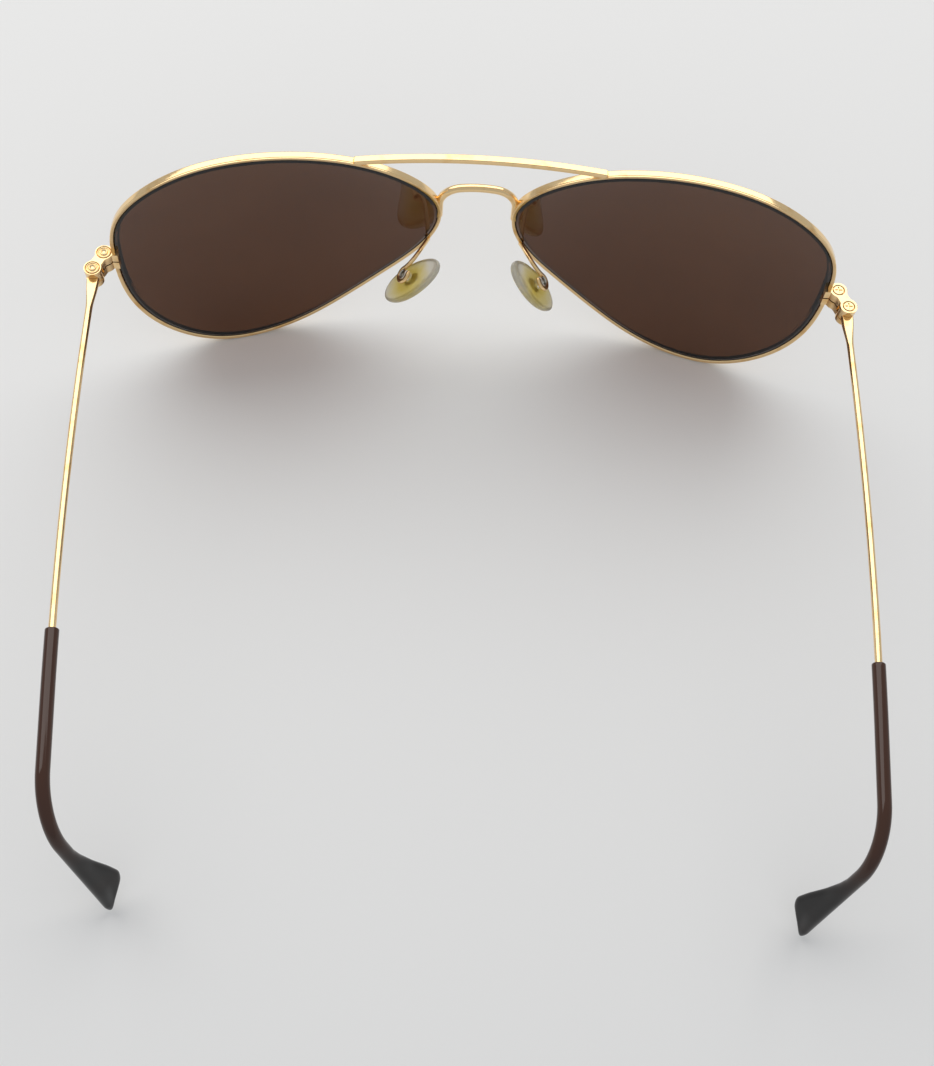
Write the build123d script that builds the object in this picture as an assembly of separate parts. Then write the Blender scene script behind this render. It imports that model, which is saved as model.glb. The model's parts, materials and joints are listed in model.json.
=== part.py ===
from build123d import *
import math
import os

# Aviator sunglasses, millimetres and degrees.
# The glasses stand on the bottoms of the two rims and on the ends of the two temple tips.
# +X is the wearer's left, -Y is the way the wearer looks, +Z is up.
# The left half is built, and the right half is its mirror image.

# ---------------------------------------------------------------- driving dimensions
# lenses
lens_width = 58.0            # of the part that shows inside the rim
lens_height = 50.0
lens_gap = 14.5              # between the two lenses, across the nose
lens_thickness = 2.0
lens_curve = 88.0            # radius of the lens's front face
lens_wrap = 9.7              # how far each lens turns towards the side of the head
lens_tongue = 0.3            # how far the ridge round the lens reaches into the rim's groove
tongue_thickness = 0.8
groove_play = 0.02           # between the lens and the rim, all round
front_tilt = 1.4             # how far the top of the front leans forward

# Outline of the opening in a rim from its middle, as parts of its half width and half height.
# The first number grows towards the temple.
lens_shape = [
    (1.00, 0.19), (0.91, 0.66), (0.57, 0.94), (0.16, 1.00), (-0.26, 0.95), (-0.66, 0.81),
    (-0.98, 0.49), (-0.93, 0.03), (-0.67, -0.37), (-0.36, -0.70), (0.00, -0.94),
    (0.41, -0.98), (0.77, -0.72), (0.96, -0.30),
]

# rims
rim_depth = 1.6              # front to back
rim_wall = 0.65              # outside the opening
rim_slit = 0.3               # the rim is cut here, and the lock screw closes it

# brow bar and bridge
bar_reach = 15.05            # how far each end passes the lens's edge at the nose
bar_depth = 1.4
bar_height = 1.0
bar_crown = 2.0              # how far the middle stands above the ends
bar_sink = 0.55              # how far the ends are let into the tops of the rims
bridge_wire = 1.45
bridge_inset = 0.25          # how far each leg stands inside the gap between the lenses
bridge_top_share = 0.638     # height of the wire's middle above the lens's, as a part of the half height
bridge_foot_share = 0.31     # where the legs end on the rims, in the same way
bridge_corner = 4.6
bridge_crown = 1.0           # how far the middle stands above the corners
bridge_crown_radius = 18.0

# hinges: a closing block above and below the slit, with the temple's knuckle between them
hinge_rise = 4.75            # above the middle of the lens
lock_out = 1.9               # the lock screw, outside the lens's edge
lock_back = 0.54             # and behind the middle of the rim
pin_out = 1.6                # the hinge screw, outside the lock screw
pin_back = 3.5               # and behind it
plate_radius = 1.55
plate_thickness = 1.2
plate_waist = 1.0            # half the width of the plate between its two round ends
root_width = 2.0             # the root that joins the plate to the rim
root_forward = 0.3           # how far the root lies in front of the lock screw
knuckle_height = 1.4
knuckle_radius = 1.5
hinge_play = 0.05            # above and below the knuckle, and round the screw
knuckle_room = 0.25          # round the knuckle, in the blocks
screw_radius = 0.5
screw_head_radius = 1.05
screw_head_height = 0.45
slot_width = 0.22            # the crossed slots in the heads
slot_depth = 0.15
slot_share = 0.75            # how much of the head they cross

# temples
wire_radius = 0.62
flat_width = 2.3             # the flat behind the knuckle
flat_start = 0.9             # from the hinge to where the flat leaves the knuckle
flat_length = 6.5            # from the hinge to where the flat has become round wire
flat_corner = 0.3
temple_reach = 100.6         # hinge to the corner above the ear
temple_drop = 1.7
temple_inset = 3.3           # how far the corner lies inside the hinge
temple_bow = 0.45            # how far the temple stands outside the hinge at the bow
bow_place = 46.3             # how far behind the hinge the bow is
bow_share = 0.9              # how much of the shorter straight run the bow takes up
foot_height = 0.7            # the middle of the hook's end, above what the glasses stand on
hook_inset = 7.6
hook_back = 6.5
bend_radius = 15.0
toe_in = {"left": 0.8, "right": -0.8}     # how far each open temple turns inward

# temple tips
sleeve_start = 69.0          # from the hinge
sleeve_radius = 1.15
sleeve_play = 0.03
core_end = 7.0               # the wire ends this far before the end of the tip
sleeve_sections = 12
blade_side = Vector(1, 1, 0).normalized()
blade_share = 0.62           # how much of the hook the blade takes up
blade_width = 5.4
blade_thickness = 2.3
blade_growth = [(0.25, 0.30), (0.50, 0.75), (0.75, 1.00)]     # part of the blade, part of the growth
nose_radius = 1.0
nose_start = 1.4             # where the nose begins, before the end
nose_swell = 1.5             # its width there, as a part of its thickness
nose_end = 0.6               # the round end, as a part of the nose

# nose pads
pad_length = 13.5
pad_width = 7.8
pad_thickness = 2.4
pad_lean = 38.0              # how far the pad's foot swings outward
pad_sweep = 7.0              # how far the pad's foot swings back
pad_rest = {"left": 9.0, "right": 0.0}    # how much further each pad's foot stands outward at rest
pad_front_rounding = 0.45    # parts of the pad's thickness
pad_back_rounding = 0.2
pad_out = 5.15               # the pad screw, outside the lens's edge at the nose
pad_behind = 7.72            # behind the rim
pad_drop = 0.45              # below the middle of the lens
pad_gap = 0.4                # between the cup and the pad
cup_radius = 1.0
cup_wall = 0.3
cup_height = 1.7
cup_front = 0.5              # how far the cup reaches past the screw towards the pad
lug_thickness = 0.7
lug_radius = 0.5
neck_width = 0.75
pad_screw_radius = 0.22
pad_screw_head = 0.45
pad_screw_head_height = 0.2
core_thickness = 0.5
core_depth = 0.6             # how deep the plate lies in the pad
core_length = 5.0
core_width = 3.6
arm_wire = 0.8
arm_play = 0.02              # between the curl and the cup
arm_root = lens_shape[7]     # the point of the outline where the arm is brazed to the back of the rim
arm_root_out = 0.6           # and how far towards the nose from there
arm_start = Vector(0.25, 0.80, 0.55)      # the way the arm leaves the rim, up over the pad
arm_curl_start = 100.0
arm_curl = 270.0

# ---------------------------------------------------------------- worked out from the above
lens_x = lens_gap / 2 + lens_width / 2
lens_z = lens_height / 2 + rim_wall
back_curve = lens_curve - lens_thickness
wrap = math.radians(lens_wrap)
lens_centre = Vector(lens_x - back_curve * math.sin(wrap), back_curve * math.cos(wrap), lens_z)
rim_inset = (lens_thickness - rim_depth) / 2
rim_back = back_curve + rim_inset
rim_front = rim_back + rim_depth
reach = 30.0                 # long enough to cut right through a lens or a rim


def depth_at(x, z, radius):
    """Y of a sphere about the lens's centre of curvature, above the point x, z."""
    side = radius ** 2 - (x - lens_centre.X) ** 2 - (z - lens_centre.Z) ** 2
    return lens_centre.Y - math.sqrt(side)


lens_nose_edge = lens_gap / 2
lens_side_edge = lens_gap / 2 + lens_width
hinge_height = lens_z + hinge_rise
lock_x = lens_side_edge + lock_out
lock_y = depth_at(lens_side_edge, hinge_height, (rim_back + rim_front) / 2) + lock_back
pin_x = lock_x + pin_out
pin_y = lock_y + pin_back
hinge_top = hinge_height + knuckle_height / 2 + hinge_play + plate_thickness
hinge_bottom = 2 * hinge_height - hinge_top
hinge_point = Vector(pin_x, pin_y, hinge_height)
hook_drop = hinge_height - temple_drop - foot_height

bar_length = 2 * (lens_nose_edge + bar_reach)
bridge_width = 2 * (lens_nose_edge - bridge_inset)
bridge_top = lens_z + bridge_top_share * lens_height / 2
bridge_foot = lens_z + bridge_foot_share * lens_height / 2

pad_x = lens_nose_edge + pad_out
pad_z = lens_z - pad_drop
pad_y = depth_at(pad_x, pad_z, rim_back) + pad_behind
arm_root_x = lens_x + arm_root[0] * lens_width / 2 - arm_root_out
arm_root_z = lens_z + arm_root[1] * lens_height / 2


def leaned(shape):
    """The front leans forward about the X axis."""
    return Rot(front_tilt, 0, 0) * shape


def outline_face(grow):
    """The rim's opening, grown by a distance, as a face in the XZ plane."""
    points = [
        Vector(lens_x + a * lens_width / 2, 0, lens_z + b * lens_height / 2)
        for a, b in lens_shape
    ]
    curve = Spline(*points, periodic=True)
    if grow == 0:
        return make_face(curve)
    steps = 4 * len(lens_shape)
    moved = []
    for step in range(steps):
        tangent = curve % (step / steps)
        outward = tangent.cross(Vector(0, 1, 0)).normalized()
        if outward.dot(curve @ (step / steps) - Vector(lens_x, 0, lens_z)) < 0:
            outward = -outward
        moved.append(curve @ (step / steps) + outward * grow)
    return make_face(Spline(*moved, periodic=True))


def column(grow):
    """The outline carried from front to back."""
    return extrude(outline_face(grow), amount=reach, dir=(0, 1, 0), both=True)


def shell(inner, outer):
    """The space between two spheres about the lens's centre of curvature."""
    centre = Pos(lens_centre.X, lens_centre.Y, lens_centre.Z)
    return centre * (Sphere(outer) - Sphere(inner))


def largest(shape):
    return max(shape.solids(), key=lambda solid: solid.volume)


def tube(path, radius):
    """A round bar along a path."""
    start = Plane(origin=path @ 0, z_dir=path % 0)
    return sweep(start * Circle(radius), path=path)


# ---------------------------------------------------------------- lenses and rims
def tongue(play):
    """The ridge round the lens, which sits in the rim's groove, grown by a play."""
    middle = (lens_thickness - tongue_thickness) / 2 - play
    return shell(back_curve + middle, lens_curve - middle) & column(lens_tongue + play)


def make_lens():
    body = shell(back_curve, lens_curve) & column(-groove_play)
    return leaned(body + tongue(0))


def make_rim():
    ring = shell(rim_back, rim_front) & (column(rim_wall) - column(0))
    slit_x = lens_x + lens_width / 2
    slit = Pos(slit_x, lock_y, hinge_height) * Box(6, reach, rim_slit)
    return leaned(ring - tongue(groove_play)) - slit


def rim_envelope():
    """The rim with no lens opening and no slit, which cuts what is brazed to it."""
    return leaned(shell(rim_back, rim_front) & column(rim_wall))


def lens_space():
    """The room in front of the lens, behind it and in its place."""
    return leaned(column(0))


# ---------------------------------------------------------------- brow bar and bridge
def make_brow_bar(envelopes):
    end_x = bar_length / 2
    half = outline_face(rim_wall)
    line = Edge.make_line((end_x, 0, lens_z), (end_x, 0, lens_z + lens_height))
    rim_top = max(point.Z for point in (line & half).vertices())
    low = rim_top - bar_sink
    lower = ThreePointArc((-end_x, 0, low), (0, 0, low + bar_crown), (end_x, 0, low))
    upper = Pos(0, 0, bar_height) * lower
    outline = Wire([
        lower, upper,
        Line(lower @ 0, upper @ 0), Line(lower @ 1, upper @ 1),
    ])
    middle = depth_at(end_x, rim_top, (rim_back + rim_front) / 2)
    bar = extrude(make_face(outline), amount=bar_depth / 2, dir=(0, 1, 0), both=True)
    bar = leaned(Pos(0, middle, 0) * bar)
    for envelope in envelopes:
        bar = bar - envelope
    return largest(bar)


def make_bridge(envelopes):
    side = bridge_width / 2
    shoulder = bridge_top - bridge_crown
    depth = depth_at(side, bridge_foot, (rim_back + rim_front) / 2)
    points = [
        (-side, depth, bridge_foot), (-side, depth, shoulder), (0, depth, bridge_top),
        (side, depth, shoulder), (side, depth, bridge_foot),
    ]
    path = FilletPolyline(*points, radius=[bridge_corner, bridge_crown_radius, bridge_corner])
    bridge = leaned(tube(path, bridge_wire / 2))
    for envelope in envelopes:
        bridge = bridge - envelope
    return largest(bridge)


# ---------------------------------------------------------------- hinges
def plate_outline():
    """Two round ends, over the lock screw and the hinge screw, joined by a waist."""
    lock = Vector(lock_x, lock_y)
    pin = Vector(pin_x, pin_y)
    across = (pin - lock).length
    angle = math.degrees(math.atan2(pin.Y - lock.Y, pin.X - lock.X))
    waist = Pos(*((lock + pin) * 0.5)) * Rot(0, 0, angle) * Rectangle(across, 2 * plate_waist)
    ends = Pos(*lock) * Circle(plate_radius) + Pos(*pin) * Circle(plate_radius)
    root = Pos(lock_x - plate_radius, lock_y - root_forward) * Rectangle(2 * plate_radius, root_width)
    return ends + waist + root


def make_blocks(envelope):
    """The closing blocks. Each carries one rim end and one leaf of the hinge."""
    half_slit = rim_slit / 2
    tall = hinge_top - hinge_height - half_slit
    room = Pos(pin_x, pin_y, hinge_height) * Cylinder(
        knuckle_radius + knuckle_room, knuckle_height + 2 * hinge_play)
    upper = Pos(0, 0, hinge_height + half_slit) * extrude(plate_outline(), amount=tall)
    lower = Pos(0, 0, hinge_bottom) * extrude(plate_outline(), amount=tall)
    upper = upper - room - envelope - lens_space()
    lower = lower - room - envelope - lens_space()
    bore = screw_radius + hinge_play
    length = hinge_top - hinge_bottom
    for x, y in ((lock_x, lock_y), (pin_x, pin_y)):
        hole = Pos(x, y, hinge_height) * Cylinder(bore, length + 1)
        seat = Pos(x, y, hinge_top - screw_head_height / 2) * Cylinder(
            screw_head_radius + hinge_play, screw_head_height + hinge_play)
        upper = upper - hole - seat
        lower = lower - hole
    return largest(upper), largest(lower)


def make_screw(x, y):
    length = hinge_top - hinge_bottom
    shank = Pos(x, y, hinge_height) * Cylinder(screw_radius, length)
    head = Pos(x, y, hinge_top - screw_head_height / 2) * Cylinder(
        screw_head_radius, screw_head_height)
    slot_length = 2 * screw_head_radius * slot_share
    slots = Box(slot_length, slot_width, 2 * slot_depth) + Box(slot_width, slot_length, 2 * slot_depth)
    return shank + head - Pos(x, y, hinge_top) * slots


# ---------------------------------------------------------------- temples
def temple_corners():
    """Hinge, middle of the bow, corner above the ear, and end of the hook."""
    corner = hinge_point + Vector(-temple_inset, temple_reach, -temple_drop)
    foot = corner + Vector(-hook_inset, hook_back, -hook_drop)
    share = bow_place / temple_reach
    middle = hinge_point + Vector(temple_bow, bow_place, -temple_drop * share)
    return hinge_point, middle, corner, foot


def temple_path(end):
    """The wire's line: a long gentle bow, then one bend down behind the ear.
    It starts behind the flat of the knuckle and stops short of the hook's end."""
    hinge, middle, corner, foot = temple_corners()
    start = hinge + (middle - hinge).normalized() * flat_length
    last = foot + (corner - foot).normalized() * end
    turn = math.radians((middle - start).get_angle(corner - middle))
    bend_turn = math.radians((corner - middle).get_angle(foot - corner))
    straight = (corner - middle).length - bend_radius * math.tan(bend_turn / 2)
    bow = bow_share * min((middle - start).length, straight) / math.tan(turn / 2)
    return FilletPolyline(start, middle, corner, last, radius=[bow, bend_radius])


def make_temple():
    path = temple_path(core_end)
    heading = path % 0
    eye = Pos(*hinge_point) * Cylinder(knuckle_radius, knuckle_height)
    root = Plane(origin=hinge_point + heading * flat_start, x_dir=(1, 0, 0), z_dir=heading)
    tail = Plane(origin=path @ 0, x_dir=(1, 0, 0), z_dir=heading)
    nearly_round = 0.99
    flat = loft([
        root * RectangleRounded(flat_width, knuckle_height, flat_corner),
        tail * RectangleRounded(2 * wire_radius, 2 * wire_radius, nearly_round * wire_radius),
    ])
    hole = Pos(*hinge_point) * Cylinder(screw_radius + hinge_play, knuckle_height + 1)
    return (eye + flat + tube(path, wire_radius)) - hole


def make_tip():
    """The sleeve over the end of the wire: round, then a blade that ends in a nose.
    The blade grows on its inner side only, and its outer edge runs on from the round part."""
    path = temple_path(0)
    corner, foot = temple_corners()[2:]
    hook = (foot - corner).length
    first = sleeve_start - flat_length
    blade_start = path.length - hook * blade_share
    bore = 2 * sleeve_radius
    growth = blade_width - bore
    nose = 2 * nose_radius
    sections = []
    for step in range(sleeve_sections + 1):
        along = first + (blade_start - first) * step / sleeve_sections
        sections.append((along, bore, bore))
    for share, grown in blade_growth:
        sections.append((blade_start + hook * blade_share * share, bore + growth * grown, blade_thickness))
    sections.append((path.length - nose_start, nose * nose_swell, nose))
    sections.append((path.length, nose * nose_end, nose * nose_end))
    faces = []
    for along, width, thickness in sections:
        point = path.position_at(along, position_mode=PositionMode.LENGTH)
        heading = path.tangent_at(along, position_mode=PositionMode.LENGTH)
        side = (blade_side - heading * blade_side.dot(heading)).normalized()
        plane = Plane(origin=point - side * max(0, (width - bore) / 2), x_dir=side, z_dir=heading)
        faces.append(plane * Ellipse(width / 2, thickness / 2))
    core = tube(temple_path(core_end - sleeve_play), wire_radius + sleeve_play)
    return loft(faces) - core


# ---------------------------------------------------------------- nose pads
# In the pad's plane X runs down the pad, Y forward and Z towards the nose. The pad screw lies on Y.
lean = math.radians(pad_lean)
sweep_back = math.radians(pad_sweep)
pad_down = Vector(math.sin(lean), math.cos(lean) * math.tan(sweep_back), -math.cos(lean)).normalized()
pad_inward = Vector(-math.cos(lean), 0, -math.sin(lean))
pad_face = (pad_inward - pad_down * pad_inward.dot(pad_down)).normalized()
pad_plane = Plane(origin=(pad_x, pad_y, pad_z), x_dir=pad_down, z_dir=pad_face)
cup_back = cup_front - cup_height
pad_back = cup_front + pad_gap


def across_pad(radius, length):
    """A round bar along the pad screw's axis."""
    return Rot(90, 0, 0) * Cylinder(radius, length)


def make_pad_cup():
    """A short round cup, open front and back, which the lug stands in."""
    middle = Pos(0, 0, (cup_front + cup_back) / 2)
    cup = middle * (Cylinder(cup_radius, cup_height) - Cylinder(cup_radius - cup_wall, cup_height))
    return pad_plane * (cup - across_pad(pad_screw_radius, 4 * cup_radius))


def make_pad_screw():
    length = 2 * cup_radius
    head = Pos(0, -(length + pad_screw_head_height) / 2, 0) * across_pad(
        pad_screw_head, pad_screw_head_height)
    return pad_plane * (across_pad(pad_screw_radius, length) + head)


def make_pad_core(rock):
    """The plate inside the pad, and the lug that the screw passes through, rocked about the screw."""
    plate = Pos(0, 0, pad_back + core_depth) * extrude(
        Ellipse(core_length / 2, core_width / 2), amount=core_thickness)
    neck_height = pad_back + core_depth
    neck = Pos(0, 0, neck_height / 2) * Box(neck_width, lug_thickness, neck_height)
    lug = across_pad(lug_radius, lug_thickness)
    hole = across_pad(pad_screw_radius + hinge_play, 2 * lug_thickness)
    return pad_plane * (Rot(0, rock, 0) * (plate + neck + lug - hole))


def make_pad(core, rock):
    """A drop, flat on the side of the cup and rounded towards the nose."""
    drop = extrude(Ellipse(pad_length / 2, pad_width / 2), amount=pad_thickness)
    drop = fillet(drop.edges().sort_by(Axis.Z)[-1], pad_front_rounding * pad_thickness)
    drop = fillet(drop.edges().sort_by(Axis.Z)[0], pad_back_rounding * pad_thickness)
    return pad_plane * (Rot(0, rock, 0) * Pos(0, 0, pad_back) * drop) - core


def make_pad_arm(envelope):
    """A wire from the back of the rim, back and outward, to a curl that grips the cup."""
    ring = cup_radius + arm_play + arm_wire / 2
    turn = pad_plane * Pos(0, 0, cup_back + arm_wire / 2)
    curl = turn * CenterArc((0, 0, 0), ring, arm_curl_start, -arm_curl)
    root_y = depth_at(arm_root_x, arm_root_z, rim_back) - arm_wire / 4
    root = leaned(Vertex(arm_root_x, root_y, arm_root_z)).center()
    lead = Spline(root, curl @ 0, tangents=[arm_start, curl % 0])
    return tube(Wire([lead, curl]), arm_wire / 2) - envelope


# ---------------------------------------------------------------- assembly
def make_left_half(envelope):
    """The left pieces of the front, and the left temple before it is turned inward."""
    upper, lower = make_blocks(envelope)
    return {
        "rim": make_rim(),
        "lens": make_lens(),
        "upper_hinge_block": upper,
        "lower_hinge_block": lower,
        "lock_screw": make_screw(lock_x, lock_y),
        "hinge_screw": make_screw(pin_x, pin_y),
        "temple": make_temple(),
        "temple_tip": make_tip(),
        "pad_arm": make_pad_arm(envelope),
        "pad_cup": make_pad_cup(),
        "pad_screw": make_pad_screw(),
    }


def on_side(shape, side):
    """A left piece, or its mirror image on the right."""
    return shape if side == "left" else shape.mirror(Plane.YZ)


def make_all():
    envelope = rim_envelope()
    half = make_left_half(envelope)
    envelopes = [envelope, on_side(envelope, "right")]
    pieces = {
        "brow_bar": make_brow_bar(envelopes),
        "bridge": make_bridge(envelopes),
    }
    for side in ("left", "right"):
        for name, shape in half.items():
            pieces[f"{side}_{name}"] = on_side(shape, side)
        hinge = Axis((pin_x if side == "left" else -pin_x, pin_y, 0), (0, 0, 1))
        turn = toe_in[side] if side == "left" else -toe_in[side]
        for name in ("temple", "temple_tip"):
            pieces[f"{side}_{name}"] = pieces[f"{side}_{name}"].rotate(hinge, turn)
        core = make_pad_core(pad_rest[side])
        pieces[f"{side}_pad_core"] = on_side(core, side)
        pieces[f"{side}_nose_pad"] = on_side(make_pad(core, pad_rest[side]), side)
    return pieces


def main():
    pieces = make_all()
    boxes = [shape.bounding_box() for shape in pieces.values()]
    front = min(box.min.Y for box in boxes)
    rear = max(box.max.Y for box in boxes)
    # The origin is the middle of the glasses' footprint, on the surface they stand on.
    origin = Vector(0, (front + rear) / 2, min(box.min.Z for box in boxes))
    os.makedirs("parts", exist_ok=True)
    for name, shape in pieces.items():
        export_step(Pos(*(-origin)) * shape, f"parts/{name}.step")
    print("origin", [round(value, 4) for value in origin])
    print("hinge pins", pin_x, round(pin_y - origin.Y, 4), round(hinge_height - origin.Z, 4))
    print("pad screws", pad_x, round(pad_y - origin.Y, 4), round(pad_z - origin.Z, 4))
    print("pad screw axis", [round(value, 5) for value in pad_plane.y_dir])


if __name__ == "__main__":
    main()
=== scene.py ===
import json
import math

import bpy
import numpy as np
from mathutils import Matrix, Vector


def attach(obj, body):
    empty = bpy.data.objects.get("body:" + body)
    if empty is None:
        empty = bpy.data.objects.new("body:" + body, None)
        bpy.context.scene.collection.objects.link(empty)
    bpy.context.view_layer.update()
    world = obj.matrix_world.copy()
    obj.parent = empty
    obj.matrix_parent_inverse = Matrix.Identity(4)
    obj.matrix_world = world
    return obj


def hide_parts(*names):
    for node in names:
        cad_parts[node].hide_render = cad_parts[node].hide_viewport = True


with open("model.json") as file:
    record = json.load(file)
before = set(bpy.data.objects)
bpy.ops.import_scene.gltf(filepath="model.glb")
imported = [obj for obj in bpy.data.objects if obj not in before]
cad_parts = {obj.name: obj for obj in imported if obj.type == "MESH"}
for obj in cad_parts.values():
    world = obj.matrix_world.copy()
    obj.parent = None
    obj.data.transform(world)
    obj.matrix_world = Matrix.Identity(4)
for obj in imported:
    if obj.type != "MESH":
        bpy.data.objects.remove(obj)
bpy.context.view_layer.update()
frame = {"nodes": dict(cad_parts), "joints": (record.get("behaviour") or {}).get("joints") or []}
mm = 0.001
print("frame loaded:", len(frame["nodes"]), "nodes")

# Shapes are worked out in millimetres for the left half, where X grows to the temple, Y to the back
# and Z up. The right half is the same shape with X turned round.
lens = dict(
    width=58.0, height=50.0, gap=14.5, thickness=2.0, curve=88.0, wrap=9.7,
    tongue=0.3, tongueThickness=0.8, play=0.02,
    facet=0.65, facetDepth=0.22,    # the bright ring ground round the back of the edge
    edgeStart=0.2, edgeDepth=0.45,   # and the steep edge outside it
    frontFacet=0.3,
    outline=[               # parts of the half width and half height
        (1.00, 0.19), (0.91, 0.66), (0.57, 0.94), (0.16, 1.00), (-0.26, 0.95), (-0.66, 0.81),
        (-0.98, 0.49), (-0.93, 0.03), (-0.67, -0.37), (-0.36, -0.70), (0.00, -0.94),
        (0.41, -0.98), (0.77, -0.72), (0.96, -0.30),
    ],
)
rim = dict(
    depth=1.6, wall=0.65, slit=0.3, tilt=1.4,
    rounding=0.12, backRounding=0.16, frontRounding=0.2,    # of the inner and the two outer corners
    crease=0.09, bead=0.34,
)
hinge = dict(
    rise=4.75,              # of the slit above the lens's middle
    lock=(1.9, 0.54),       # outward and back from the lens's edge to the lock screw
    pin=(1.6, 3.5),         # and from there to the hinge screw
    plateRadius=1.55, plateThickness=1.2, waist=1.0, knuckle=1.4, knuckleRadius=1.5, play=0.05,
    room=0.42, screw=0.5, headHeight=0.45, seat=0.1, chamfer=0.08, edge=0.09, toe=0.8, eyeEdge=0.1,
    sharpness=9,                    # how tightly the plate's waist meets its round ends
    head={1: 1.22, -1: 1.0},        # the left heads are domed and the right ones flat
    rootLong=2.5, rootWide=1.9, rootForward=0.3,
)

lensX = lens["gap"] / 2 + lens["width"] / 2
lensZ = lens["height"] / 2 + rim["wall"]
backCurve = lens["curve"] - lens["thickness"]
wrap = math.radians(lens["wrap"])
curveX = lensX - backCurve * math.sin(wrap)
curveY = backCurve * math.cos(wrap)
rimBack = backCurve + (lens["thickness"] - rim["depth"]) / 2
rimFront = rimBack + rim["depth"]


def onFront(flat, radius):
    # Points on a sphere about the lens's centre of curvature, from their places seen from the front.
    x, z = flat[..., 0], flat[..., 1]
    y = curveY - np.sqrt(radius ** 2 - (x - curveX) ** 2 - (z - lensZ) ** 2)
    return np.stack([x, y, z], -1)


hingeZ = lensZ + hinge["rise"]
edgeX = lens["gap"] / 2 + lens["width"]
edge = onFront(np.array([edgeX, hingeZ]), (rimBack + rimFront) / 2)
lockPlace = edge + (hinge["lock"][0], hinge["lock"][1], 0)
pinPlace = lockPlace + (hinge["pin"][0], hinge["pin"][1], 0)
# The frame's hinge pin says where this half's numbers lie in the frame.
framePin = next(j["pos_m"] for j in frame["joints"] if j["name"] == "left_temple_fold")
shift = np.array(framePin) / mm - pinPlace


# ---- shapes: a shape is an array of points and a list of faces

def closedCurve(points, count):
    # Cubic pieces whose slope and bend agree where they meet, with the distance between the points as
    # their parameter, read off at even parameter steps.
    p = np.asarray(points, float)
    n = len(p)
    gap = np.linalg.norm(np.roll(p, -1, 0) - p, axis=1)
    before = np.roll(gap, 1)
    index = np.arange(n)
    system = np.diag(2 * (gap + before))
    system[index, index - 1] += before
    system[index, (index + 1) % n] += gap
    slope = (np.roll(p, -1, 0) - p) / gap[:, None]
    bend = np.linalg.solve(system, 6 * (slope - np.roll(slope, 1, 0)))
    knots = np.concatenate([[0], np.cumsum(gap)])
    t = np.linspace(0, knots[-1], count, endpoint=False)
    k = np.clip(np.searchsorted(knots, t, side="right") - 1, 0, n - 1)
    u = ((t - knots[k]) / gap[k])[:, None]
    after = (k + 1) % n
    square = gap[k, None] ** 2 / 6
    line = p[k] * (1 - u) + p[after] * u
    return line + square * (((1 - u) ** 3 - (1 - u)) * bend[k] + (u ** 3 - u) * bend[after])


def unit(vectors):
    return vectors / np.linalg.norm(vectors, axis=-1, keepdims=True)


def arcAt(back, corner, ahead, radius, parts):
    # The arc that touches the two sides of a corner.
    into, out = unit(corner - back), unit(ahead - corner)
    turn = math.acos(np.clip(into @ out, -1, 1))
    if radius == 0 or turn < 0.001:
        return corner[None]
    middle = corner + unit(out - into) * radius / math.cos(turn / 2)
    spoke = unit(corner - into * radius * math.tan(turn / 2) - middle)
    angle = np.linspace(0, turn, parts + 1)[:, None]
    return middle + radius * (np.cos(angle) * spoke + np.sin(angle) * into)


def filleted(corners, radii, parts=4):
    # A closed outline whose corners are rounded.
    corners = np.asarray(corners, float)
    around = zip(np.roll(corners, 1, 0), corners, np.roll(corners, -1, 0), radii)
    return np.concatenate([arcAt(back, corner, ahead, r, parts) for back, corner, ahead, r in around])


def evenly(bends, step):
    # Points every step along a line, with their headings and how far along they lie.
    length = np.concatenate([[0], np.cumsum(np.linalg.norm(np.diff(bends, axis=0), axis=1))])
    along = np.linspace(0, length[-1], int(length[-1] / step) + 2)
    place = np.stack([np.interp(along, length, bends[:, i]) for i in range(3)], -1)
    return place, unit(np.gradient(place, axis=0)), along


def roundedPath(corners, radii, step):
    # Straight runs joined by arcs that touch both runs. Each inner corner has a radius.
    corners = np.asarray(corners, float)
    arcs = [arcAt(*corners[i:i + 3], radius, 60) for i, radius in enumerate(radii)]
    return evenly(np.concatenate([corners[:1], *arcs, corners[-1:]]), step)


def gridFaces(rows, columns, wrapRows):
    # Quads between neighbouring rows; the columns always close round.
    r, c = np.meshgrid(np.arange(rows if wrapRows else rows - 1), np.arange(columns), indexing="ij")
    right, below = (c + 1) % columns, (r + 1) % rows
    faces = np.stack([r * columns + c, r * columns + right, below * columns + right, below * columns + c], -1)
    return faces.reshape(-1, 4)


def outward(points, faces):
    # The volume is the sum of the corners' triple products; below nought it is inside out.
    volume = 0
    for size in {len(f) for f in faces}:
        corner = points[np.array([f for f in faces if len(f) == size])]
        for k in range(1, size - 1):
            volume += np.einsum("ij,ij->i", corner[:, 0], np.cross(corner[:, k], corner[:, k + 1])).sum()
    return faces if volume > 0 else [f[::-1] for f in faces]


def solid(grid, wrapRows=False):
    # A grid of points, rows along and columns round. Each open end is closed to a point in its middle.
    rows, columns = grid.shape[:2]
    points = grid.reshape(-1, 3)
    faces = gridFaces(rows, columns, wrapRows).tolist()
    if not wrapRows:
        points = np.vstack([points, grid[0].mean(0), grid[-1].mean(0)])
        ring = np.arange(columns)
        after = (ring + 1) % columns
        first, last = rows * columns, rows * columns + 1
        faces += [[first, int(b), int(a)] for a, b in zip(ring, after)]
        start = (rows - 1) * columns
        faces += [[last, int(start + a), int(start + b)] for a, b in zip(ring, after)]
    return points, outward(points, faces)


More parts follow.
